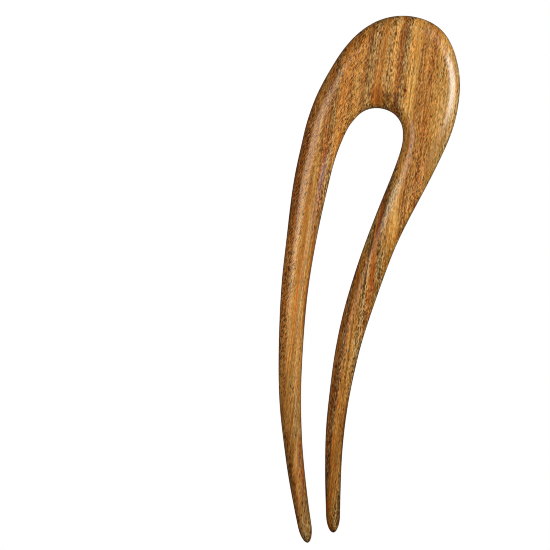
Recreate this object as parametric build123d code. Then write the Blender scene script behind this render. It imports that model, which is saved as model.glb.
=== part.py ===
from build123d import *
import math
import os
from collections import namedtuple

# A two-legged wooden hair fork, cut from one board and rounded over by hand.
# It lies flat: Z is up through the board, Y runs from the tips to the crown, X is across.
# The origin is under the middle of the fork, on the surface that it lies on. Sizes are in mm.

# Driving sizes
OVERALL_LENGTH = 175.0      # crown to the tip of the long leg
OVERALL_WIDTH = 46.5        # across the head, at its widest
BOARD_THICKNESS = 8.5       # flat face to flat face
CROWN_REACH = 41.7          # crotch centre to the top of the crown
CROTCH_RADIUS = 9.8         # the round end of the gap between the legs
LEG_BREADTH = 9.0           # each leg, seen from above, half way down
SHORT_LEG_STEP = 5.5        # how far the short leg's tip stops before the long one's
OUTER_ROUNDING = 5.6        # how far in from the outer edge the head is rounded over
INNER_ROUNDING = 4.0        # the same at the crotch
NOSE_LENGTH = 5.5           # the rounded nose at each tip
SANDED_OFF = 0.02           # the slight crown that sanding takes off each flat face

# A leg's rounding takes this share of its breadth from each side, so that it is nearly oval
LEG_ROUNDING_SHARE = 0.46

# Places down a leg. `down` is the share of the way from the crotch centre to the tip,
# `across` the centre's place as a share of half the width, `breadth` a share of the leg's breadth
# and `depth` a share of the board's thickness. The last row is the tip, before its nose is rounded.
LegRow = namedtuple("LegRow", "down across breadth depth")
LONG_LEG = [
    LegRow(0.065, -0.730, 1.335, 1.00),
    LegRow(0.13, -0.717, 1.275, 1.00),
    LegRow(0.26, -0.641, 1.120, 1.00),
    LegRow(0.40, -0.530, 0.990, 0.98),
    LegRow(0.54, -0.359, 0.893, 0.94),
    LegRow(0.67, -0.158, 0.792, 0.87),
    LegRow(0.79, 0.090, 0.665, 0.78),
    LegRow(0.90, 0.363, 0.560, 0.67),
    LegRow(1.00, 0.641, 0.455, 0.55),
]
SHORT_LEG = [
    LegRow(0.11, 0.583, 1.272, 1.00),
    LegRow(0.24, 0.478, 1.100, 1.00),
    LegRow(0.37, 0.428, 1.030, 0.98),
    LegRow(0.50, 0.421, 0.914, 0.94),
    LegRow(0.63, 0.478, 0.770, 0.87),
    LegRow(0.76, 0.590, 0.655, 0.78),
    LegRow(0.88, 0.754, 0.570, 0.67),
    LegRow(1.00, 0.946, 0.470, 0.55),
]

# Places round the head, each on a spoke from the crotch centre. `turn` is the spoke's
# direction in degrees from +X, `inner` a share of the crotch radius, `across` and `up` the outer
# edge's place as shares of half the width and of the crown's reach.
CrownRow = namedtuple("CrownRow", "turn inner across up")
CROWN = [
    CrownRow(180, 1.01, -1.000, 0.000),
    CrownRow(160, 0.962, -0.972, 0.197),
    CrownRow(140, 0.975, -0.889, 0.416),
    CrownRow(120, 0.995, -0.715, 0.690),
    CrownRow(105, 1.00, -0.428, 0.891),
    CrownRow(90, 1.00, 0.000, 0.994),
    CrownRow(75, 1.00, 0.459, 0.956),
    CrownRow(60, 0.985, 0.787, 0.760),
    CrownRow(50, 0.965, 0.912, 0.606),
    CrownRow(40, 0.94, 0.973, 0.456),
    CrownRow(20, 0.886, 0.995, 0.202),
    CrownRow(0, 0.883, 0.950, 0.000),
]

# Where the wood is cut through to shape it: round each nose by its angle, then by distance,
# the steps growing from the nose to their full size
NOSE_TURNS = (3, 13, 26, 39, 52, 65, 78)
FULL_STEP = 4.5
STEP_GROWTH = 1.3

# Where things are
CROTCH_CENTRE = Vector(0, OVERALL_LENGTH / 2 - CROWN_REACH)
HALF_WIDTH = OVERALL_WIDTH / 2
MID_HEIGHT = BOARD_THICKNESS / 2
LONG_DROP = OVERALL_LENGTH - CROWN_REACH
SHORT_DROP = LONG_DROP - SHORT_LEG_STEP

# One cut across the wood: its edges seen from above, the depth there, and how far in along the
# cut each edge is rounded
Cut = namedtuple("Cut", "outer inner depth outer_rounding inner_rounding")


def heading(before, here, after):
    """Unit direction that a curve through three points has at the middle one."""
    step_in, step_out = here - before, after - here
    share = step_in.length / (step_in.length + step_out.length)
    direction = step_in.normalized() * (1 - share) + step_out.normalized() * share
    return direction.normalized()


def middle(cut):
    """The point half way across a cut."""
    return (cut.outer + cut.inner) / 2


def leg_cuts(rows, drop, shoulder, outer_side):
    """Cuts down a leg. outer_side is +1 where its outer edge is left of the way to the tip."""
    centres = [CROTCH_CENTRE + Vector(row.across * HALF_WIDTH, -row.down * drop) for row in rows]
    beyond = centres[-1] * 2 - centres[-2]
    along = [shoulder] + centres + [beyond]
    cuts = []
    for row, before, here, after in zip(rows, along, centres, along[2:]):
        direction = heading(before, here, after)
        breadth = row.breadth * LEG_BREADTH
        reach = Vector(-direction.Y, direction.X) * (outer_side * breadth / 2)
        rounding = breadth * LEG_ROUNDING_SHARE
        cuts.append(Cut(here + reach, here - reach, row.depth * BOARD_THICKNESS, rounding, rounding))
    return cuts


def crown_cuts():
    """Cuts round the head, from the long leg's side to the short leg's."""
    cuts = []
    for row in CROWN:
        spoke = Vector(math.cos(math.radians(row.turn)), math.sin(math.radians(row.turn)))
        inner = CROTCH_CENTRE + spoke * (row.inner * CROTCH_RADIUS)
        outer = CROTCH_CENTRE + Vector(row.across * HALF_WIDTH, row.up * CROWN_REACH)
        cuts.append(Cut(outer, inner, BOARD_THICKNESS, OUTER_ROUNDING, INNER_ROUNDING))
    return cuts


def smooth_through(places, values):
    """A smooth curve through the values, as a function of the place. It is a natural cubic."""
    gaps = [b - a for a, b in zip(places, places[1:])]
    slopes = [(b - a) / gap for a, b, gap in zip(values, values[1:], gaps)]
    pivots, loads = [1.0], [0.0]
    for i in range(1, len(gaps)):
        share = gaps[i - 1] / pivots[-1] if i > 1 else 0.0
        pivots.append(2 * (gaps[i - 1] + gaps[i]) - share * gaps[i - 1])
        loads.append(6 * (slopes[i] - slopes[i - 1]) - share * loads[-1])
    bends = [0.0] * len(places)
    for i in range(len(gaps) - 1, 0, -1):
        bends[i] = (loads[i] - gaps[i] * bends[i + 1]) / pivots[i]

    def curve(place):
        passed = sum(1 for known in places if known <= place)
        i = max(0, min(len(gaps) - 1, passed - 1))
        ahead, behind, gap = places[i + 1] - place, place - places[i], gaps[i]
        straight = (values[i] * ahead + values[i + 1] * behind) / gap
        bow = bends[i] * (ahead ** 3 / gap - gap * ahead)
        bow += bends[i + 1] * (behind ** 3 / gap - gap * behind)
        return straight + bow / 6
    return curve


def stops(total):
    """Distances from the long tip, along the fork, at which it is cut."""
    near = [NOSE_LENGTH * (1 - math.cos(math.radians(turn))) for turn in NOSE_TURNS]
    step = near[-1] - near[-2]
    while step < FULL_STEP:
        step = step * STEP_GROWTH
        near.append(near[-1] + step)
    span = total - 2 * near[-1]
    count = round(span / FULL_STEP)
    even = [near[-1] + span * i / count for i in range(1, count)]
    return near + even + [total - place for place in reversed(near)]


def all_cuts():
    """Cuts right round the fork, from the long tip to the short one, the noses rounded."""
    crown = crown_cuts()
    long_leg = leg_cuts(LONG_LEG, LONG_DROP, middle(crown[0]), -1)
    short_leg = leg_cuts(SHORT_LEG, SHORT_DROP, middle(crown[-1]), 1)
    known = long_leg[::-1] + crown + short_leg
    places = [0.0]
    for before, here in zip(known, known[1:]):
        places.append(places[-1] + (middle(here) - middle(before)).length)
    numbers = [[cut.outer.X, cut.outer.Y, cut.inner.X, cut.inner.Y, cut.depth,
                cut.outer_rounding, cut.inner_rounding] for cut in known]
    curves = [smooth_through(places, column) for column in zip(*numbers)]
    cuts = []
    for place in stops(places[-1]):
        outer_x, outer_y, inner_x, inner_y, depth, outer_rounding, inner_rounding = [
            curve(place) for curve in curves]
        outer, inner = Vector(outer_x, outer_y), Vector(inner_x, inner_y)
        centre = (outer + inner) / 2
        from_tip = min(place, places[-1] - place, NOSE_LENGTH)
        swell = math.sqrt(1 - (1 - from_tip / NOSE_LENGTH) ** 2)
        reach = (outer - inner) * (swell / 2)
        cuts.append(Cut(centre + reach, centre - reach, min(depth, BOARD_THICKNESS) * swell,
                        outer_rounding * swell, inner_rounding * swell))
    return cuts


def outline_of(cut):
    """The closed wire of one cut: rounded over at both edges, flat between."""
    across = cut.inner - cut.outer
    breadth = across.length
    half_depth = cut.depth / 2 + SANDED_OFF
    flat_start = cut.outer_rounding
    flat_end = breadth - cut.inner_rounding
    plane = Plane(origin=(cut.outer.X, cut.outer.Y, MID_HEIGHT), x_dir=across.normalized(),
                  z_dir=across.normalized().cross(Vector(0, 0, 1)))
    over = Line((flat_start, half_depth), (flat_end, half_depth))
    under = Line((flat_end, -half_depth), (flat_start, -half_depth))
    outer_top = EllipticalCenterArc((flat_start, 0), cut.outer_rounding, half_depth, 90, arc_size=90)
    outer_low = EllipticalCenterArc((flat_start, 0), cut.outer_rounding, half_depth, 180, arc_size=90)
    inner_top = EllipticalCenterArc((flat_end, 0), cut.inner_rounding, half_depth, 0, arc_size=90)
    inner_low = EllipticalCenterArc((flat_end, 0), cut.inner_rounding, half_depth, 270, arc_size=90)
    edges = [over, inner_top, inner_low, under, outer_low, outer_top]
    return Wire([plane.from_local_coords(edge) for edge in edges])


def rounded_blank():
    """The fork rounded over all round, a little proud of the board's two faces."""
    return Solid.make_loft([outline_of(cut) for cut in all_cuts()])


def board():
    """The board that the fork is cut from, larger than the fork all round."""
    return Box(2 * OVERALL_WIDTH, 2 * OVERALL_LENGTH, BOARD_THICKNESS,
               align=(Align.CENTER, Align.CENTER, Align.MIN))


def hair_fork():
    """The finished fork, centred over the origin."""
    fork = rounded_blank() & board()
    box = fork.bounding_box()
    return Pos(-box.center().X, -box.center().Y, 0) * fork


os.makedirs("parts", exist_ok=True)
export_step(hair_fork(), "parts/fork_body.step")
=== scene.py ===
import math
from collections import namedtuple

import bpy
import numpy as np
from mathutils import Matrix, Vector, noise


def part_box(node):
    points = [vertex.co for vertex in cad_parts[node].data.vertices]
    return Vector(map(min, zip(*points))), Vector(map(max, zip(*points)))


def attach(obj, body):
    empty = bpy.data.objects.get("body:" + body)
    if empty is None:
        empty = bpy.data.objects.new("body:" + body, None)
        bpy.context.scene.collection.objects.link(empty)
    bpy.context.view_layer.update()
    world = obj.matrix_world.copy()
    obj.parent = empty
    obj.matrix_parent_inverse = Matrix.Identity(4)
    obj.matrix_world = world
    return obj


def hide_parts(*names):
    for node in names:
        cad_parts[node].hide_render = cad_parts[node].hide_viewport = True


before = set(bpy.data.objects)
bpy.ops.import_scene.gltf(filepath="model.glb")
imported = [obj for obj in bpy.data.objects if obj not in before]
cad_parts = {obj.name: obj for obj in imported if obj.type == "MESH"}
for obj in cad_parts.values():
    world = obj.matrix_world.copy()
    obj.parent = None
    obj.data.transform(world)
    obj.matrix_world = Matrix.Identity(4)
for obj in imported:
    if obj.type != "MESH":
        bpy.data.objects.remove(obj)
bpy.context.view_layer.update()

# A two-legged hair fork of golden-brown wood, carved from one board, on a plain white table.
# It is built in mm and turned to metres at the end. Z is up, Y runs from the tips to the crown.

MM = 0.001

# Sizes from the frame: the fork's whole box
FORK_LOW, FORK_HIGH = [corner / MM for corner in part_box("fork_body")]
WIDTH, LENGTH, THICKNESS = FORK_HIGH - FORK_LOW

# Shape
CROWN_REACH = 41.7          # crotch centre to the top of the crown
CROTCH_RADIUS = 9.8         # the round end of the gap between the legs
LEG_BREADTH = 9.0           # each leg, seen from above, half way down
SHORT_LEG_STEP = 5.5        # how far the short leg's tip stops before the long one's
OUTER_ROUNDING = 5.6        # how far in from the outer edge the head is rounded over
INNER_ROUNDING = 4.0        # the same at the crotch
LEG_ROUNDING_SHARE = 0.46   # how much of a leg's breadth is rounded over from each side
NOSE_LENGTH = 5.5           # the rounded nose at each tip

CROTCH_CENTRE = np.array([0.0, LENGTH / 2 - CROWN_REACH])
LONG_DROP = LENGTH - CROWN_REACH
SHORT_DROP = LONG_DROP - SHORT_LEG_STEP

# Places down a leg. `down` is the share of the way from the crotch centre to the tip,
# `across` the centre's place as a share of half the width, `breadth` a share of the leg's breadth
# and `depth` a share of the thickness
LegRow = namedtuple("LegRow", "down across breadth depth")
LONG_LEG = [
    LegRow(0.065, -0.730, 1.335, 1.00),
    LegRow(0.13, -0.717, 1.275, 1.00),
    LegRow(0.26, -0.641, 1.120, 1.00),
    LegRow(0.40, -0.530, 0.990, 0.98),
    LegRow(0.54, -0.359, 0.893, 0.94),
    LegRow(0.67, -0.158, 0.792, 0.87),
    LegRow(0.79, 0.090, 0.665, 0.78),
    LegRow(0.90, 0.363, 0.560, 0.67),
    LegRow(1.00, 0.641, 0.455, 0.55),
]
SHORT_LEG = [
    LegRow(0.11, 0.583, 1.272, 1.00),
    LegRow(0.24, 0.478, 1.100, 1.00),
    LegRow(0.37, 0.428, 1.030, 0.98),
    LegRow(0.50, 0.421, 0.914, 0.94),
    LegRow(0.63, 0.478, 0.770, 0.87),
    LegRow(0.76, 0.590, 0.655, 0.78),
    LegRow(0.88, 0.754, 0.570, 0.67),
    LegRow(1.00, 0.946, 0.470, 0.55),
]

# Places round the head, each on a spoke from the crotch centre. `turn` is the spoke's direction in
# degrees from +X, `inner` a share of the crotch radius, `across` and `up` the outer edge's place
CrownRow = namedtuple("CrownRow", "turn inner across up")
CROWN = [
    CrownRow(180, 1.01, -1.000, 0.000),
    CrownRow(160, 0.962, -0.972, 0.197),
    CrownRow(140, 0.975, -0.889, 0.416),
    CrownRow(120, 0.995, -0.715, 0.690),
    CrownRow(105, 1.00, -0.428, 0.891),
    CrownRow(90, 1.00, 0.000, 0.994),
    CrownRow(75, 1.00, 0.459, 0.956),
    CrownRow(60, 0.985, 0.787, 0.760),
    CrownRow(50, 0.965, 0.912, 0.606),
    CrownRow(40, 0.94, 0.973, 0.456),
    CrownRow(20, 0.886, 0.995, 0.202),
    CrownRow(0, 0.883, 0.950, 0.000),
]

# How finely the mesh is divided
NOSE_RINGS = 14             # rings round each nose
RING_STEP = 0.55            # mm between rings along the fork
QUARTER_STEPS = 12          # steps round each quarter of a ring
FLAT_STEPS = 12             # steps over the flat of a ring

# What carving by hand leaves: a slow unevenness
CARVE_DEPTH = 0.06          # mm at most, each way
CARVE_SPAN = 13.0           # mm from hollow to hollow

# How the wood lies in the fork. Places in it are in mm across or along the grain, from the fork's middle
GRAIN_LEAN = 8.5            # degrees that the grain leans left of the fork's length
LAYER_TILT = 0.30           # mm that the layers shift sideways for each mm up
LOWER_TO_UPPER = (2.0, 22.0)    # where along the grain the lower bands turn into the upper ones

# Three zones, left, middle and right, in each of which short fibres have their own slant
SLANTS = (20.0, 2.0, 8.0)   # degrees right of the grain, zone by zone
LEFT_ZONE_HEAD = 1.2        # where across the grain the left zone ends, in the head
LEFT_ZONE_LEG = -13.0       # the same in the leg
LEG_TO_HEAD = (25.0, 50.0)  # where along the grain that end moves from the one to the other
RIGHT_ZONE = 18.2           # where across the grain the right zone begins
ZONE_SOFTNESS = 1.3         # how far one zone passes into the next, each way

# The fork's edge is painted a little darker all round, half way up: painted shade for the dark rim where
# the sides turn away from the lamps
SHADED_EDGE_REACH = 2.0            # mm above and below the middle where it begins to darken
SHADED_EDGE_CORE = 0.6             # the same where it is darkest
SHADED_EDGE_DARKER = 0.8           # how many steps darker it is there

# The wood's finish
FINISH = {
    "Roughness": 0.40,
    "Specular IOR Level": 0.20,
    "Coat IOR": 1.6,
    "Coat Roughness": 0.21,
}
BUMP_DEPTHS = {"Normal": 0.012, "Coat Normal": 0.001}   # mm for each step that the wood is darker
WORN_GLOSS = 0.30           # how much gloss is left on the right leg, below its shoulder
WORN_ACROSS = (2.0, 3.4)    # where across the grain it wears off, between the legs
WORN_ALONG = (23.0, 11.0)   # where along the grain it wears off, down the leg

# The photograph's view
VIEW_TURN = 16.0            # degrees that the camera is turned about the vertical
VIEW_WIDTH = 179.8          # mm across the picture at the fork's mid height
VIEW_CENTRE = (-20.47, -0.66)   # mm from the fork's middle to the picture's, right and up in the picture
CAMERA_HEIGHT = 1200.0      # mm above the fork's mid height
SENSOR = 36.0               # mm, the breadth of the camera's sensor
CAMERA_REACH = 10.0         # metres that the camera sees
PIXEL_BLUR = 1.0            # pixels over which each pixel is taken

# Surroundings
TABLE_REACH = 4.0           # metres from the table's middle to each of its sides
BLACK, WHITE = (0.0, 0.0, 0.0, 1.0), (1.0, 1.0, 1.0, 1.0)
SKY_TINT = (1.0, 0.86, 0.66, 1.0)
SKY_GLOW = 0.07


def heading(before, here, after):
    """Unit direction that a curve through three points has at the middle one."""
    step_in, step_out = here - before, after - here
    length_in, length_out = np.linalg.norm(step_in), np.linalg.norm(step_out)
    share = length_in / (length_in + length_out)
    direction = step_in / length_in * (1 - share) + step_out / length_out * share
    return direction / np.linalg.norm(direction)


def leg_cuts(rows, drop, shoulder, outer_side):
    """Cuts down a leg: outer x, y, inner x, y, depth and both roundings."""
    centres = [CROTCH_CENTRE + (row.across * WIDTH / 2, -row.down * drop) for row in rows]
    along = [shoulder] + centres + [centres[-1] * 2 - centres[-2]]
    cuts = []
    for row, before, here, after in zip(rows, along, centres, along[2:]):
        direction = heading(before, here, after)
        breadth = row.breadth * LEG_BREADTH
        reach = np.array([-direction[1], direction[0]]) * (outer_side * breadth / 2)
        rounding = breadth * LEG_ROUNDING_SHARE
        cuts.append([*(here + reach), *(here - reach), row.depth * THICKNESS, rounding, rounding])
    return cuts


def crown_cuts():
    """Cuts round the head, from the long leg's side to the short leg's."""
    cuts = []
    for row in CROWN:
        turn = math.radians(row.turn)
        inner = CROTCH_CENTRE + np.array([math.cos(turn), math.sin(turn)]) * row.inner * CROTCH_RADIUS
        outer = CROTCH_CENTRE + (row.across * WIDTH / 2, row.up * CROWN_REACH)
        cuts.append([*outer, *inner, THICKNESS, OUTER_ROUNDING, INNER_ROUNDING])
    return cuts


def middle(cut):
    """The point half way across a cut."""
    return (np.array(cut[0:2]) + np.array(cut[2:4])) / 2


def smooth_through(places, values):
    """The natural cubic through rows of values, as a function of the place."""
    gaps = np.diff(places)
    slopes = np.diff(values, axis=0) / gaps[:, None]
    system = np.eye(len(places))
    loads = np.zeros_like(values)
    for i in range(1, len(gaps)):
        system[i, i - 1:i + 2] = gaps[i - 1], 2 * (gaps[i - 1] + gaps[i]), gaps[i]
        loads[i] = 6 * (slopes[i] - slopes[i - 1])
    bends = np.linalg.solve(system, loads)

    def curve(at):
        i = np.clip(np.searchsorted(places, at, side="right") - 1, 0, len(gaps) - 1)
        gap = gaps[i][:, None]
        behind = (at - places[i])[:, None]
        ahead = gap - behind
        straight = (values[i] * ahead + values[i + 1] * behind) / gap
        bow = bends[i] * (ahead ** 3 / gap - gap * ahead)
        bow += bends[i + 1] * (behind ** 3 / gap - gap * behind)
        return straight + bow / 6
    return curve


def fine_cuts():
    """Cuts close together right round the fork, from the long tip to the short one: their outer and
    inner ends, their depths and roundings, and the last point of each tip."""
    crown = crown_cuts()
    long_leg = leg_cuts(LONG_LEG, LONG_DROP, middle(crown[0]), -1)
    short_leg = leg_cuts(SHORT_LEG, SHORT_DROP, middle(crown[-1]), 1)
    known = np.array(long_leg[::-1] + crown + short_leg)
    centres = (known[:, 0:2] + known[:, 2:4]) / 2
    steps = np.linalg.norm(np.diff(centres, axis=0), axis=1)
    places = np.concatenate([[0.0], np.cumsum(steps)])
    total = places[-1]
    nose = NOSE_LENGTH * (1 - np.cos(np.linspace(0, math.pi / 2, NOSE_RINGS, endpoint=False)[1:]))
    count = round((total - 2 * NOSE_LENGTH) / RING_STEP)
    between = np.linspace(NOSE_LENGTH, total - NOSE_LENGTH, count + 1)
    at = np.concatenate([nose, between, total - nose[::-1]])
    cuts = smooth_through(places, known)(at)
    from_tip = np.minimum(np.minimum(at, total - at), NOSE_LENGTH)
    swell = np.sqrt(1 - (1 - from_tip / NOSE_LENGTH) ** 2)[:, None]
    centre = (cuts[:, 0:2] + cuts[:, 2:4]) / 2
    reach = (cuts[:, 0:2] - cuts[:, 2:4]) / 2 * swell
    sizes = cuts[:, 4:7]
    sizes[:, 0] = np.minimum(sizes[:, 0], THICKNESS)
    return centre + reach, centre - reach, sizes * swell, [middle(known[0]), middle(known[-1])]


def ring_shares():
    """One ring's points, as shares of the outer rounding, the flat, the inner rounding and the depth."""
    quarter = np.arange(QUARTER_STEPS) / QUARTER_STEPS * math.pi / 2
    flat = np.arange(FLAT_STEPS) / FLAT_STEPS
    one, none = np.ones(FLAT_STEPS), np.zeros(FLAT_STEPS)
    whole = np.ones(QUARTER_STEPS)
    over = np.column_stack([one, flat, none, one])
    under = np.column_stack([one, 1 - flat, none, -one])
    inner = [np.column_stack([whole, whole, np.sin(t), np.cos(t)])
             for t in (quarter, quarter + math.pi / 2)]
    outer = [np.column_stack([1 + np.sin(t), 0 * whole, 0 * whole, np.cos(t)])
             for t in (quarter + math.pi, quarter + 1.5 * math.pi)]
    return np.concatenate([over, *inner, under, *outer])


def fork_points():
    """All the rings' points in mm, ring by ring, and the two tips' last points."""
    outer, inner, sizes, ends = fine_cuts()
    depth, outer_rounding, inner_rounding = sizes.T
    across = inner - outer
    breadth = np.linalg.norm(across, axis=1)
    flat = breadth - outer_rounding - inner_rounding
    shares = ring_shares()
    reach = (outer_rounding[:, None] * shares[:, 0] + flat[:, None] * shares[:, 1]
             + inner_rounding[:, None] * shares[:, 2]) / breadth[:, None]
    flat_points = outer[:, None, :] + across[:, None, :] * reach[:, :, None]
    height = depth[:, None] / 2 * shares[:, 3] + THICKNESS / 2
    rings = np.concatenate([flat_points, height[:, :, None]], axis=2)
    return rings, np.array([[*end, THICKNESS / 2] for end in ends])


def carved(points, cores):
    """The points moved slightly to or from their ring's middle, as uneven as hand carving leaves them."""
    moved = []
    for point, core in zip(points, cores):
        inward = Vector(core - point).normalized()
        hollow = noise.noise(Vector(point) / CARVE_SPAN)
        moved.append(point + np.array(inward * (CARVE_DEPTH * hollow)))
    return np.array(moved)


def fitted(points):
    """The points set in the CAD node's box."""
    low, high = points.min(axis=0), points.max(axis=0)
    size = np.array(FORK_HIGH - FORK_LOW)
    return (points - low) / (high - low) * size + np.array(FORK_LOW)


def make_fork():
    """The fork's body as one closed mesh of quads, with a fan of triangles at each tip."""
    rings, ends = fork_points()
    ring_count, ring_size = rings.shape[:2]
    points = rings.reshape(-1, 3)
    cores = np.repeat(rings.mean(axis=1), ring_size, axis=0)
    points = fitted(np.concatenate([carved(points, cores), ends]))
    faces = []
    for i in range(ring_count - 1):
        for j in range(ring_size):
            k = (j + 1) % ring_size
            a, b = i * ring_size, (i + 1) * ring_size
            faces.append((a + j, a + k, b + k, b + j))
    first_end, last_end = len(points) - 2, len(points) - 1
    last = (ring_count - 1) * ring_size
    for j in range(ring_size):
        k = (j + 1) % ring_size
        faces.append((j, first_end, k))
        faces.append((last + j, last + k, last_end))
    mesh = bpy.data.meshes.new("fork_wood")
    mesh.from_pydata((points * MM).tolist(), [], faces)
    mesh.validate()
    mesh.shade_smooth()
    fork = bpy.data.objects.new("fork_wood", mesh)
    bpy.context.collection.objects.link(fork)
    return fork


def linear(red, green, blue):
    """A colour given as 0 to 255 on a screen, as the light values that nodes use (the sRGB curve)."""
    values = [channel / 255 for channel in (red, green, blue)]
    return tuple(v / 12.92 if v <= 0.04045 else ((v + 0.055) / 1.055) ** 2.4 for v in values) + (1.0,)


# The wood's tones
GOLD = linear(220, 160, 74)
HONEY = linear(198, 136, 56)
ORANGE = linear(202, 128, 46)
RUSSET = linear(174, 105, 34)
OLIVE = linear(180, 132, 64)
UMBER = linear(126, 84, 34)
STRAW = linear(218, 174, 108)

# What one step darker, and one step warmer, leaves of the red, green and blue of any tone
DARKER = (0.50, 0.405, 0.245, 1.0)
WARMER = (1.10, 0.86, 0.60, 1.0)

# Limits to how many steps darker or warmer the wood is than its band, and what all of it starts from
DARKEST, PALEST = 2.5, -0.7
COOLEST = -1.3
ALL_DARKER = -0.10

# Waves of noise. `across`, `along` and `up` are their size in mm, `reach` is how far they go each
# way, `detail` and `roughness` are how finely they break up. The first two shift the layers, by mm,
# and the third makes the wood darker and paler, by steps
WaveRow = namedtuple("WaveRow", "across along up reach detail roughness")
WANDER = WaveRow(11.0, 42.0, 14.0, 0.9, 1.0, 0.50)
RIPPLE = WaveRow(1.8, 12.0, 3.0, 0.5, 2.0, 0.50)
STREAKS = WaveRow(0.7, 70.0, 1.4, 1.3, 3.0, 0.65)

# Fibres. `across` and `along` are their thickness and length in mm, `spread` is how far the strongest
# are above the weakest, in steps, `detail` is how finely they break up, and `offset` sets each kind
# apart from the others
FibreRow = namedtuple("FibreRow", "across along spread detail offset")
DARK_LONG = FibreRow(0.30, 14.0, 3.0, 2.0, 0.0)
DARK_SHORT = FibreRow(0.27, 1.1, 5.0, 1.0, 37.0)
WARM_LONG = FibreRow(0.60, 9.0, 4.0, 2.0, 11.0)
WARM_SHORT = FibreRow(0.38, 1.1, 4.5, 1.0, 53.0)
PALE = FibreRow(0.34, 1.8, 1.0, 1.0, 71.0)
FIBRE_HEIGHT = 2.5          # how high a fibre is, in thicknesses
LONG_FIBRE = 5.0            # mm of length from which on fibres keep to the grain
DARK_STRENGTH = (0.45, 1.1)     # how strong the dark ones are in closed wood, and in open wood
WARM_STRENGTH = (0.55, 1.35)    # how strong the warm ones are in the palest wood, and in dark wood
WARM_FULL = 1.5             # how many steps darker the wood is where they are strongest
PALE_EDGE = (0.03, 0.18)    # where in their spread the pale ones begin, and where they are palest
PALE_COVER = 0.70           # how far the palest cover the wood
PALE_IN_CLOSED = 0.25       # the share of that in closed wood

# Open pores, which are short dark dashes
PORE_SPACING = (0.35, 1.5, 1.4)     # mm from one to the next, across, along and up
PORE_REACH = 0.46           # half a pore's size, in spacings
PORE_CORE = 0.6             # the share of it that is darkest
PORES_KEPT = 0.85           # the share of the pores that is there in open wood
PORE_DARKER = 2.2           # how many steps darker a pore is

# Bands across the grain, at most 32 to a ramp. `place` is where across the grain, `shade` how many
# steps the band is darker than its tone, and `open` how densely it is strewn with open pores and
# pale fibres, from 0 to 1
BandRow = namedtuple("BandRow", "place tone shade open")
UPPER_BANDS = [
    BandRow(-15.8, RUSSET, -0.05, 0.70),
    BandRow(-13.8, HONEY, -0.15, 0.40),
    BandRow(-11.3, HONEY, -0.05, 0.25),
    BandRow(-9.4, RUSSET, 0.05, 0.70),
    BandRow(-8.0, OLIVE, -0.05, 0.80),
    BandRow(-6.2, ORANGE, -0.25, 0.20),
    BandRow(-2.6, HONEY, 0.15, 0.75),
    BandRow(-0.8, HONEY, -0.35, 0.30),
    BandRow(0.5, RUSSET, 0.00, 0.60),
    BandRow(1.2, OLIVE, 0.20, 1.00),
    BandRow(2.4, OLIVE, -0.35, 0.70),
    BandRow(3.1, OLIVE, -0.15, 1.00),
    BandRow(3.8, RUSSET, 0.05, 0.80),
    BandRow(4.5, HONEY, -0.40, 0.10),
    BandRow(5.7, RUSSET, -0.10, 0.20),
    BandRow(6.8, GOLD, 0.05, 0.20),
    BandRow(7.6, OLIVE, -0.05, 1.00),
    BandRow(8.4, OLIVE, -0.20, 1.00),
    BandRow(9.3, GOLD, -0.20, 0.40),
    BandRow(11.0, RUSSET, -0.05, 0.40),
    BandRow(11.9, RUSSET, 0.15, 0.60),
    BandRow(12.4, UMBER, -0.40, 1.00),
    BandRow(13.1, OLIVE, -0.20, 0.80),
    BandRow(14.7, GOLD, -0.10, 0.15),
    BandRow(17.3, GOLD, 0.25, 0.05),
    BandRow(18.1, RUSSET, -0.10, 0.80),
    BandRow(18.7, OLIVE, -0.25, 0.80),
    BandRow(19.25, RUSSET, 0.10, 0.40),
    BandRow(19.75, HONEY, -0.25, 0.20),
    BandRow(21.1, RUSSET, -0.05, 0.50),
    BandRow(24.3, GOLD, 0.20, 0.20),
    BandRow(28.0, OLIVE, -0.30, 0.40),
]
LOWER_BANDS = [
    BandRow(-18.0, ORANGE, -0.10, 0.60),
    BandRow(-16.2, ORANGE, -0.15, 1.00),
    BandRow(-15.0, HONEY, -0.30, 0.70),
    BandRow(-14.3, HONEY, -0.50, 0.20),
    BandRow(-13.2, HONEY, -0.45, 0.05),
    BandRow(-12.5, ORANGE, -0.10, 0.05),
    BandRow(-11.7, HONEY, -0.20, 0.05),
    BandRow(-11.0, GOLD, 0.30, 0.10),
    BandRow(-9.8, HONEY, 0.05, 0.10),
    BandRow(-8.6, HONEY, 0.15, 0.10),
    BandRow(-7.2, HONEY, 0.20, 0.10),
    BandRow(-5.0, RUSSET, -0.35, 0.15),
    BandRow(-3.0, RUSSET, -0.30, 0.15),
    BandRow(-1.0, OLIVE, -0.10, 0.15),
    BandRow(1.0, OLIVE, -0.10, 0.20),
    BandRow(3.2, RUSSET, 0.05, 0.50),
    BandRow(4.4, UMBER, -0.40, 0.90),
    BandRow(5.1, UMBER, -0.35, 1.00),
    BandRow(5.5, ORANGE, -0.15, 0.30),
    BandRow(6.6, HONEY, 0.20, 0.20),
    BandRow(7.8, HONEY, 0.10, 0.40),
    BandRow(8.7, OLIVE, 0.20, 1.00),
    BandRow(9.4, OLIVE, -0.25, 1.00),
    BandRow(10.3, RUSSET, -0.30, 0.70),
    BandRow(11.5, RUSSET, -0.10, 0.40),
    BandRow(12.5, OLIVE, 0.15, 0.70),
    BandRow(13.6, OLIVE, 0.10, 0.80),
    BandRow(15.0, HONEY, 0.30, 0.30),
    BandRow(17.5, GOLD, 0.10, 0.20),
    BandRow(20.0, HONEY, 0.10, 0.70),
    BandRow(26.0, HONEY, 0.00, 0.70),
]
BANDS_LOW, BANDS_HIGH = -20.0, 30.0     # where across the grain both ramps start and end
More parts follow.
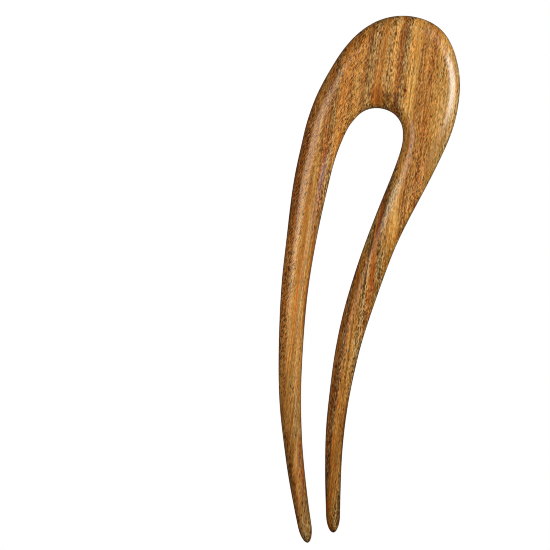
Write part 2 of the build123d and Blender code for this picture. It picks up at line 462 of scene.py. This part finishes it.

# Single marks, most in the figure and some of them painted light or shade: ellipses that fade towards
# their edge.
# `across` and `along` are where in the grain their middle is, `wide` and `long` half their size in mm,
# `slant` is in degrees right of the grain, and `darker`, `warmer` and `open` are what the mark adds at its
# middle
MarkRow = namedtuple("MarkRow", "across along wide long slant darker warmer open")
# Pale, cooler strokes of the curly figure on the right leg's shoulder: partly the figure, partly painted
# sheen
CURL_AND_SHEEN_STROKES = [(16.3, 32.8), (15.5, 30.6), (14.5, 29.2), (13.7, 26.8)]    # a few alike, across and along
MARKS = [
    # Head and shoulders: first the knot, then the red-brown patch above the crotch, partly its own colour
    # and partly painted shade, and the dim edge beside it, painted shade
    MarkRow(13.9, 61.8, 0.6, 0.8, 0, 3.4, 1.6, 0.0),
    # partly the wood's own red-brown, partly painted shade on the crotch's down-facing edge
    MarkRow(5.6, 59.0, 4.2, 4.2, 0, 0.60, 0.7, -0.1),
    # painted shade beside the crotch's down-facing edge
    MarkRow(9.8, 58.2, 2.6, 4.0, -15, 0.80, -0.5, 0.3),
    MarkRow(21.5, 72.0, 1.0, 1.6, 0, 0.5, 0.5, 0.2),
    # paler and cooler: partly pale flecks in the wood, partly painted highlight at the soft edge of the
    # head's highlight
    MarkRow(25.9, 72.0, 0.8, 6.0, 10, -0.1, -1.0, 0.6),
    MarkRow(-5.0, 40.0, 1.0, 12.0, 0, 0.4, 0.2, -0.3),
    MarkRow(28.8, 64.0, 2.0, 16.0, 0, 0.0, 0.0, -0.5),
    # Right leg, roughly from the head down
    MarkRow(21.8, 38.0, 3.4, 15.0, 2, 0.0, 0.0, 0.3),
    # the curly figure's strokes and the paler, cooler patch round them: partly figure, partly painted
    # sheen
    *[MarkRow(across, along, 0.32, 1.6, 24, -0.9, -0.6, 0.0) for across, along in CURL_AND_SHEEN_STROKES],
    # painted shade: darker down the right leg's right-facing edge
    MarkRow(26.5, 44.0, 2.6, 14.0, 12, 0.45, 0.0, -0.3),
    MarkRow(14.4, 27.5, 1.7, 8.0, 14, 0.05, -0.6, 0.7),
    MarkRow(15.2, 15.0, 2.2, 10.0, 8, 0.05, 0.0, -0.5),
    # painted shade: darker down the right leg's right-facing edge
    MarkRow(17.5, 13.0, 1.3, 20.0, 16, 0.35, 0.0, 0.0),
    MarkRow(11.3, 19.0, 0.9, 9.5, 6, 0.35, 1.0, -0.5),
    MarkRow(11.0, 3.5, 0.9, 9.0, -3, 0.25, 0.9, -0.6),
    MarkRow(12.4, -3.5, 0.7, 4.0, -25, 0.30, 0.8, -0.4),
    MarkRow(9.6, 11.0, 0.42, 10.0, 5, 1.8, -0.7, 0.3),
    MarkRow(9.1, -1.0, 0.40, 6.0, 1, 1.8, -0.6, 0.6),
    MarkRow(9.8, 2.0, 0.45, 9.0, 1, -0.9, -0.3, -0.6),
    # painted sheen: paler and cooler just left of the dark line
    MarkRow(8.2, 12.0, 1.2, 10.0, 11, -0.2, -0.9, 0.0),
    MarkRow(10.9, 14.0, 1.0, 8.0, 12, 0.35, 0.3, 0.0),
    MarkRow(7.8, -4.0, 1.3, 18.0, 10, -0.10, 0.1, 0.0),
    MarkRow(7.0, -26.0, 2.6, 10.0, 5, -0.30, -0.2, 0.0),
    MarkRow(3.9, -60.0, 1.2, 22.0, -1, -0.35, -0.3, 0.0),
    # painted light: paler and cooler down the right leg's left-facing edge
    MarkRow(3.7, -18.0, 1.5, 22.0, 3, -0.5, -0.2, 0.0),
    MarkRow(12.8, 5.0, 1.1, 10.0, -8, 0.5, -0.7, 0.6),
    MarkRow(9.8, -11.0, 1.0, 6.0, 0, 0.1, -0.8, 1.0),
    MarkRow(10.8, -15.5, 1.0, 4.5, -10, 0.25, -0.8, 0.4),
    MarkRow(9.7, -30.0, 1.1, 13.0, 6, 0.55, 0.0, 0.0),
    MarkRow(9.6, -48.0, 3.2, 11.0, 0, 0.45, 0.1, 0.0),
    MarkRow(8.8, -51.0, 1.1, 14.0, -1, 0.75, 0.0, 0.0),
    MarkRow(7.4, -66.0, 5.0, 26.0, 0, 0.30, 0.0, -0.3),
    MarkRow(10.8, -78.0, 1.3, 9.0, -8, 1.3, -0.8, 0.0),
    MarkRow(5.8, -84.0, 1.6, 5.0, 0, -0.35, 0.0, 0.0),
    # Left leg, roughly from the head down
    # painted sheen: paler and cooler down the left leg's left slope
    MarkRow(-15.0, 12.0, 1.2, 32.0, 0, -0.30, -0.2, -0.2),
    MarkRow(-12.8, 20.0, 0.55, 17.0, 0, 0.05, 0.9, -0.3),
    MarkRow(-12.3, -10.0, 0.60, 20.0, -2, 0.10, 0.9, -0.3),
    MarkRow(-11.4, 20.0, 1.0, 19.0, 0, -0.15, -0.3, -0.4),
    MarkRow(-10.8, -8.0, 0.9, 16.0, 0, 0.0, -0.3, 0.0),
    MarkRow(-8.8, 22.0, 1.4, 12.0, -6, 0.0, -0.3, 0.6),
    MarkRow(-9.3, 33.0, 0.8, 12.0, 0, 0.0, 0.8, 0.0),
    MarkRow(-9.2, 0.0, 0.6, 18.0, 0, 0.35, 1.0, -0.3),
    MarkRow(-8.3, -20.0, 0.9, 18.0, -6, 0.5, 0.5, 0.0),
    # painted shade: darker down the left leg's left-facing edge
    MarkRow(-13.9, -28.0, 1.1, 18.0, -8, 0.4, 0.0, 0.2),
    MarkRow(-7.2, -50.0, 1.8, 14.0, -10, 0.0, -0.7, 0.0),
    MarkRow(-6.3, -56.5, 2.6, 6.5, -10, 0.35, 0.0, 0.0),
    MarkRow(-7.2, -66.0, 1.5, 24.0, -15, 0.40, -0.2, 0.3),
    MarkRow(-2.2, -67.0, 1.6, 14.0, -13, 0.50, -0.1, 0.2),
    MarkRow(0.2, -80.0, 1.4, 12.0, -15, 0.75, -0.1, 0.1),
    # painted highlight: a paler, cooler line down the middle of the left leg's lower end and its tip
    MarkRow(-4.6, -67.0, 0.9, 19.0, -11, -0.6, -0.5, 0.0),
    MarkRow(0.6, -84.0, 1.8, 7.0, -12, -0.5, -0.6, 0.0),
]


class Graph:
    """A material's nodes, added one after another."""

    def __init__(self, tree):
        self.tree = tree

    def feed(self, node, inputs):
        """Gives a node's inputs plain values or other nodes' outputs."""
        for key, value in inputs.items():
            if isinstance(value, bpy.types.NodeSocket):
                self.tree.links.new(value, node.inputs[key])
            else:
                node.inputs[key].default_value = value

    def add(self, kind, inputs, **settings):
        node = self.tree.nodes.new(kind)
        for name, value in settings.items():
            setattr(node, name, value)
        self.feed(node, inputs)
        return node

    def maths(self, operation, *values):
        return self.add("ShaderNodeMath", dict(enumerate(values)), operation=operation).outputs[0]

    def total(self, *values):
        """The sum of several values."""
        result = values[0]
        for value in values[1:]:
            result = self.maths("ADD", result, value)
        return result

    def vector(self, x, y, z):
        return self.add("ShaderNodeCombineXYZ", {0: x, 1: y, 2: z}).outputs[0]

    def span(self, value, low, high, start=0.0, end=1.0, smooth=False):
        """The value's way from low to high, as start to end."""
        kind = "SMOOTHSTEP" if smooth else "LINEAR"
        inputs = {"Value": value, "From Min": low, "From Max": high, "To Min": start, "To Max": end}
        return self.add("ShaderNodeMapRange", inputs, interpolation_type=kind).outputs[0]

    def noise(self, place, detail, roughness=0.5):
        inputs = {"Vector": place, "Scale": 1.0, "Detail": detail, "Roughness": roughness}
        return self.add("ShaderNodeTexNoise", inputs).outputs[0]

    def cells(self, place):
        """Distance to the nearest of scattered points, and that point's own random colour."""
        node = self.add("ShaderNodeTexVoronoi", {"Vector": place, "Scale": 1.0})
        return node.outputs["Distance"], node.outputs["Color"]

    def ellipse(self, place, mark):
        """From 0 outside a mark's ellipse to 1 at its middle. `place` is across, along and 1."""
        turn = math.radians(mark.slant)
        centre = Vector((mark.across, mark.along))
        squares = 0.0
        for axis, reach in (((math.cos(turn), -math.sin(turn)), mark.wide),
                            ((math.sin(turn), math.cos(turn)), mark.long)):
            axis = Vector(axis) / reach
            inputs = {0: place, 1: (axis.x, axis.y, -axis.dot(centre))}
            away = self.add("ShaderNodeVectorMath", inputs, operation="DOT_PRODUCT").outputs["Value"]
            squares = self.maths("MULTIPLY_ADD", away, away, squares)
        return self.span(squares, 1.0, 0.0, smooth=True)

    def ramp(self, value, stops):
        """The colour and the alpha that the stops give the value."""
        node = self.add("ShaderNodeValToRGB", {0: value})
        elements = node.color_ramp.elements
        while len(elements) < len(stops):
            elements.new(1.0)
        for element, (place, colour) in zip(elements, stops):
            element.position = place
            element.color = colour
        return node.outputs["Color"], node.outputs["Alpha"]

    def blend(self, share, first, second, way="MIX"):
        """Two colours mixed. The node has its colours at 6 and 7, and what becomes of them at 2."""
        node = self.add("ShaderNodeMix", {0: share, 6: first, 7: second}, data_type="RGBA", blend_type=way)
        return node.outputs[2]


class Wood:
    """Places inside the wood, in mm: across the grain, along it and up from the table."""

    def __init__(self, graph):
        self.graph = graph
        position = graph.add("ShaderNodeTexCoord", {}).outputs["Object"]
        turned = graph.add("ShaderNodeMapping", {
            "Vector": position,
            "Rotation": (0.0, 0.0, -math.radians(GRAIN_LEAN)),
            "Scale": (1 / MM, 1 / MM, 1 / MM),
        }).outputs[0]
        parts = graph.add("ShaderNodeSeparateXYZ", {0: turned}).outputs
        self.across, self.along, self.up = parts

    def place(self, across_size, along_size, up_size, slant=0.0, offset=0.0):
        """The place counted in cells of the given size, in fibres that slant sideways."""
        graph = self.graph
        turn = math.radians(slant)
        aside = graph.total(graph.maths("MULTIPLY", self.across, math.cos(turn)),
                            graph.maths("MULTIPLY", self.along, -math.sin(turn)))
        onward = graph.total(graph.maths("MULTIPLY", self.across, math.sin(turn)),
                             graph.maths("MULTIPLY", self.along, math.cos(turn)))
        return graph.vector(
            graph.total(graph.maths("DIVIDE", aside, across_size), offset),
            graph.maths("DIVIDE", onward, along_size),
            graph.maths("DIVIDE", self.up, up_size),
        )

    def waves(self, row):
        """A row's waves, about 0."""
        graph = self.graph
        level = graph.noise(self.place(row.across, row.along, row.up), row.detail, row.roughness)
        return graph.span(level, 0.0, 1.0, -row.reach, row.reach)


def layer_at(wood):
    """The layer that a place is in, as the layer's own place across the grain."""
    graph = wood.graph
    return graph.total(
        wood.across,
        graph.maths("MULTIPLY", wood.up, LAYER_TILT),
        wood.waves(WANDER),
        wood.waves(RIPPLE),
        -THICKNESS * LAYER_TILT,
    )


def band_stops(bands):
    """The bands as stops of a ramp, with `open` as the alpha."""
    stops = []
    for band in bands:
        colour = [light * step ** band.shade for light, step in zip(band.tone[:3], DARKER)]
        stops.append(((band.place - BANDS_LOW) / (BANDS_HIGH - BANDS_LOW), (*colour, band.open)))
    return stops


def bands_at(wood, layer):
    """The colour of the bands, and how open they are."""
    graph = wood.graph
    share = graph.span(layer, BANDS_LOW, BANDS_HIGH)
    upper, upper_open = graph.ramp(share, band_stops(UPPER_BANDS))
    lower, lower_open = graph.ramp(share, band_stops(LOWER_BANDS))
    upper_share = graph.span(wood.along, *LOWER_TO_UPPER, smooth=True)
    colour = graph.blend(upper_share, lower, upper)
    openness = graph.total(
        graph.maths("MULTIPLY", upper_open, upper_share),
        graph.maths("MULTIPLY", lower_open, graph.maths("SUBTRACT", 1.0, upper_share)),
    )
    return colour, openness


def marks_at(wood):
    """How much darker, warmer and more open all marks together make the wood."""
    graph = wood.graph
    place = graph.vector(wood.across, wood.along, 1.0)
    totals = [0.0, 0.0, 0.0]
    for mark in MARKS:
        strength = graph.ellipse(place, mark)
        effect = (mark.darker, mark.warmer, mark.open)
        totals = [graph.maths("MULTIPLY_ADD", strength, part, total) if part else total
                  for part, total in zip(effect, totals)]
    return totals


class Zones:
    """The zones of the wood, and what is woven into it with each zone's own slant."""

    def __init__(self, wood, layer):
        self.wood = wood
        self.graph = graph = wood.graph
        left_end = graph.span(wood.along, *LEG_TO_HEAD, LEFT_ZONE_LEG, LEFT_ZONE_HEAD, smooth=True)
        inside = graph.maths("SUBTRACT", left_end, layer)
        left = graph.span(inside, -ZONE_SOFTNESS, ZONE_SOFTNESS, smooth=True)
        right = graph.span(layer, RIGHT_ZONE - ZONE_SOFTNESS, RIGHT_ZONE + ZONE_SOFTNESS, smooth=True)
        between = graph.maths("SUBTRACT", 1.0, graph.total(left, right))
        self.shares = left, between, right

    def woven(self, make):
        """What `make` gives for each zone's slant, each in its zone."""
        graph = self.graph
        parts = [graph.maths("MULTIPLY", share, make(slant)) for share, slant in zip(self.shares, SLANTS)]
        return graph.total(*parts)

    def fibres(self, row):
        """A row's fibres, about 0. Only short ones slant."""
        graph = self.graph

        def level(slant):
            place = self.wood.place(row.across, row.along, row.across * FIBRE_HEIGHT, slant, row.offset)
            return graph.noise(place, row.detail)

        levels = self.woven(level) if row.along < LONG_FIBRE else level(0.0)
        return graph.span(levels, 0.0, 1.0, -row.spread / 2, row.spread / 2)

    def pale_fibres(self, openness):
        """How far pale fibres cover the wood, most where it is open."""
        graph = self.graph
        cover = graph.span(self.fibres(PALE), *PALE_EDGE, 0.0, PALE_COVER, smooth=True)
        return graph.maths("MULTIPLY", cover, graph.span(openness, 0.0, 1.0, PALE_IN_CLOSED, 1.0))

    def pores(self, openness):
        """Open pores, from 0 beside them to 1 on them, most where the wood is open."""
        graph = self.graph
        kept = graph.maths("MULTIPLY", openness, PORES_KEPT)

        def dashes(slant):
            distance, colour = graph.cells(self.wood.place(*PORE_SPACING, slant))
            own = graph.add("ShaderNodeSeparateColor", {0: colour}).outputs[0]
            there = graph.maths("LESS_THAN", own, kept)
            body = graph.span(distance, PORE_REACH, PORE_REACH * PORE_CORE, smooth=True)
            return graph.maths("MULTIPLY", body, there)

        return self.woven(dashes)


def darkness_at(zones, openness, mark_darker):
    """How many steps darker the wood is than its band, with the painted shade at the edge and in some
    marks.
    """
    graph, wood = zones.graph, zones.wood
    pores = zones.pores(openness)
    streaks = wood.waves(STREAKS)
    fibres = graph.total(zones.fibres(DARK_LONG), zones.fibres(DARK_SHORT))
    from_middle = graph.maths("ABSOLUTE", graph.maths("SUBTRACT", wood.up, THICKNESS / 2))
    darkness = graph.total(
        streaks,
        graph.maths("MULTIPLY", fibres, graph.span(openness, 0.0, 1.0, *DARK_STRENGTH)),
        graph.maths("MULTIPLY", pores, PORE_DARKER),
        # painted shade: a darker belt round the edge, half way up
        graph.span(from_middle, SHADED_EDGE_REACH, SHADED_EDGE_CORE, 0.0, SHADED_EDGE_DARKER, smooth=True),
        mark_darker,
        ALL_DARKER,
    )
    return graph.maths("MAXIMUM", graph.maths("MINIMUM", darkness, DARKEST), PALEST)


def warmth_at(zones, darkness, mark_warmer):
    """How many steps warmer the wood is than its band."""
    graph = zones.graph
    fibres = graph.total(zones.fibres(WARM_LONG), zones.fibres(WARM_SHORT))
    strength = graph.span(darkness, PALEST, WARM_FULL, *WARM_STRENGTH)
    warmth = graph.total(graph.maths("MULTIPLY", fibres, strength), mark_warmer)
    return graph.maths("MAXIMUM", warmth, COOLEST)


def gloss_at(wood):
    """How much gloss lies over the wood."""
    graph = wood.graph
    worn = graph.maths("MULTIPLY", graph.span(wood.along, *WORN_ALONG, smooth=True),
                       graph.span(wood.across, *WORN_ACROSS, smooth=True))
    return graph.span(worn, 0.0, 1.0, 1.0, WORN_GLOSS)


def make_wood():
    """The fork's material."""
    material = bpy.data.materials.new("fork_wood")
    material.use_nodes = True
    shader = material.node_tree.nodes["Principled BSDF"]
    graph = Graph(material.node_tree)
    wood = Wood(graph)
    layer = layer_at(wood)
    colour, band_open = bands_at(wood, layer)
    mark_darker, mark_warmer, mark_open = marks_at(wood)
    openness = graph.span(graph.total(band_open, mark_open), 0.0, 1.0)
    zones = Zones(wood, layer)
    colour = graph.blend(zones.pale_fibres(openness), colour, STRAW)
    darkness = darkness_at(zones, openness, mark_darker)
    warmth = warmth_at(zones, darkness, mark_warmer)
    for change, amount in ((DARKER, darkness), (WARMER, warmth)):
        shade = graph.add("ShaderNodeGamma", {"Color": change, "Gamma": amount}).outputs[0]
        colour = graph.blend(1.0, colour, shade, way="MULTIPLY")
    graph.feed(shader, {"Base Color": colour, "Coat Weight": gloss_at(wood), **FINISH})
    for name, depth in BUMP_DEPTHS.items():
        inputs = {"Height": darkness, "Distance": depth * MM, "Strength": 1.0}
        bump = graph.add("ShaderNodeBump", inputs, invert=True)
        graph.feed(shader, {name: bump.outputs[0]})
    return material


def picture_direction(right, up):
    """A level direction given by its parts to the right and up in the picture."""
    turn = math.radians(VIEW_TURN)
    x = right * math.cos(turn) - up * math.sin(turn)
    y = right * math.sin(turn) + up * math.cos(turn)
    return Vector((x, y, 0.0))


def add_camera():
    data = bpy.data.cameras.new("camera")
    data.sensor_width = SENSOR
    data.lens = SENSOR * CAMERA_HEIGHT / VIEW_WIDTH
    data.clip_end = CAMERA_REACH
    camera = bpy.data.objects.new("camera", data)
    aim = picture_direction(*VIEW_CENTRE)
    camera.location = (aim + Vector((0, 0, THICKNESS / 2 + CAMERA_HEIGHT))) * MM
    camera.rotation_euler = (0.0, 0.0, math.radians(VIEW_TURN))
    bpy.context.collection.objects.link(camera)
    bpy.context.scene.camera = camera


# Lights, aimed at the middle of the head. `turn` is in degrees from the picture's right towards its
# top, `fall` in degrees from straight overhead, `away`, `long` and `high` are in metres, `glow` is the
# brightness of the light's face and `tint` its colour
LightRow = namedtuple("LightRow", "name turn fall away long high glow tint")
LIGHTS = [
    LightRow("key", 4, 56, 0.33, 0.15, 0.25, 7.0, (0.97, 0.98, 1.0)),
    LightRow("fill", 35, 44, 0.80, 0.80, 0.60, 0.68, (1.0, 0.93, 0.82)),
    LightRow("left", 172, 31, 0.42, 0.18, 0.30, 3.1, (1.0, 0.81, 0.64)),
]
HEAD_MIDDLE = Vector((0.0, LENGTH / 2 - WIDTH / 2, THICKNESS)) * MM


def add_light(row):
    data = bpy.data.lights.new(row.name, "AREA")
    data.shape = "RECTANGLE"
    data.size, data.size_y = row.long, row.high
    data.energy = row.glow * math.pi * row.long * row.high
    data.color = row.tint
    light = bpy.data.objects.new(row.name, data)
    turn, fall = math.radians(row.turn), math.radians(row.fall)
    level = picture_direction(math.cos(turn), math.sin(turn))
    out = level * math.sin(fall) + Vector((0, 0, math.cos(fall)))
    light.location = HEAD_MIDDLE + out * row.away
    light.rotation_mode = "QUATERNION"
    light.rotation_quaternion = out.to_track_quat("Z", "Y")
    light.visible_camera = False
    bpy.context.collection.objects.link(light)


def add_floor():
    """A plain white table, which only the camera sees."""
    mesh = bpy.data.meshes.new("floor")
    sides = ((-1, -1), (1, -1), (1, 1), (-1, 1))
    corners = [(x * TABLE_REACH, y * TABLE_REACH, 0) for x, y in sides]
    mesh.from_pydata(corners, [], [(0, 1, 2, 3)])
    floor = bpy.data.objects.new("floor", mesh)
    bpy.context.collection.objects.link(floor)
    material = bpy.data.materials.new("floor")
    material.use_nodes = True
    shader = material.node_tree.nodes["Principled BSDF"]
    shader.inputs["Base Color"].default_value = BLACK
    shader.inputs["Specular IOR Level"].default_value = 0.0
    shader.inputs["Emission Color"].default_value = WHITE
    shader.inputs["Emission Strength"].default_value = 1.0
    mesh.materials.append(material)
    floor.visible_diffuse = False
    floor.visible_glossy = False


def set_world():
    world = bpy.data.worlds.new("world")
    world.use_nodes = True
    background = world.node_tree.nodes["Background"]
    background.inputs["Color"].default_value = SKY_TINT
    background.inputs["Strength"].default_value = SKY_GLOW
    bpy.context.scene.world = world
    bpy.context.scene.view_settings.view_transform = "Standard"


bpy.context.scene.cycles.filter_width = PIXEL_BLUR
fork = make_fork()
fork.data.materials.append(make_wood())
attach(fork, "root")
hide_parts("fork_body")
add_camera()
for light_row in LIGHTS:
    add_light(light_row)
add_floor()
set_world()
